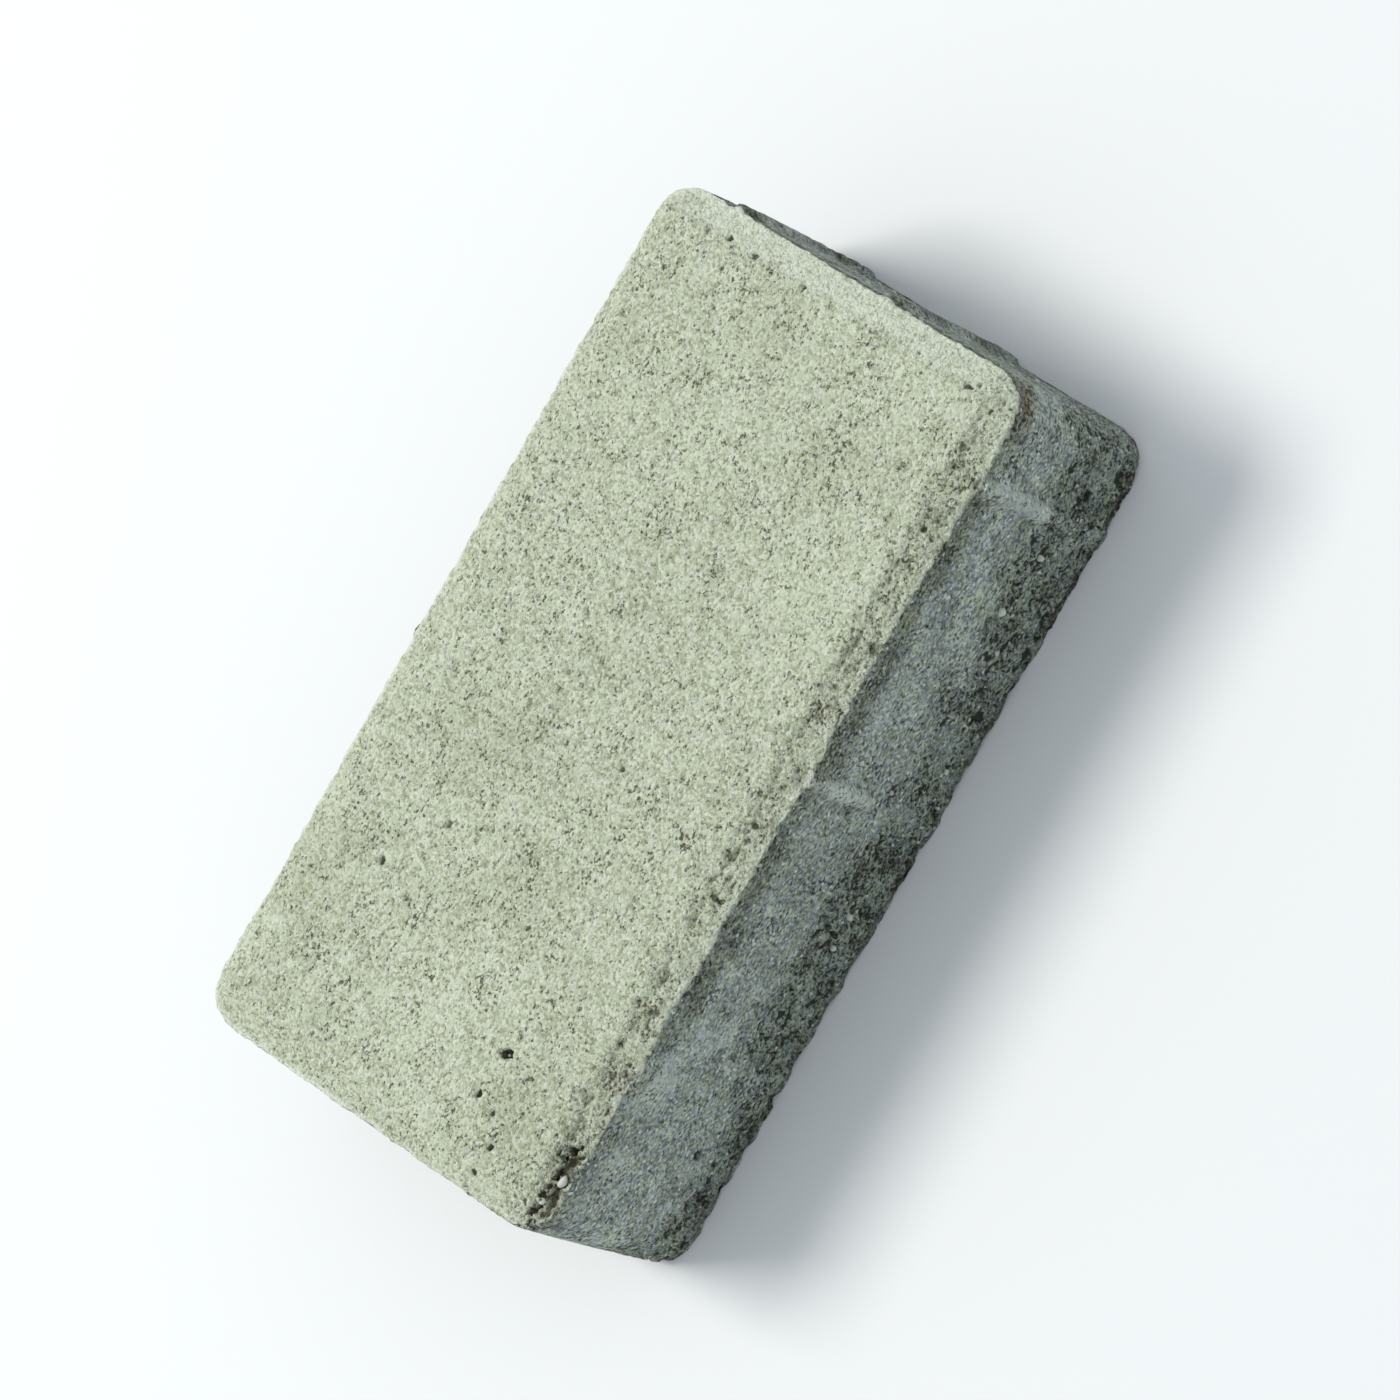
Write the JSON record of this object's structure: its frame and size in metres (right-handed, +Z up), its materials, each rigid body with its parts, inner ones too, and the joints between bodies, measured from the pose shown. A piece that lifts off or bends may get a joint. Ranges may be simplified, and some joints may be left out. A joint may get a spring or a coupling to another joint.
{
  "type": "concrete paving stone",
  "caption": "Rectangular cast concrete paving stone with a chamfered top face, rounded corners and upright spacer nibs on its sides.",
  "frame": {"origin": "middle of the bed, the flat underside that the stone lies on", "axes": "+X across the stone's width, +Y along its length, +Z up through the wearing face"},
  "size_m": [0.1, 0.2, 0.06],
  "materials": {
    "concrete": "matt, fine open-pored cast concrete"
  },
  "bodies": {
    "root": {"paving_stone": "concrete"}
  },
  "joints": []
}
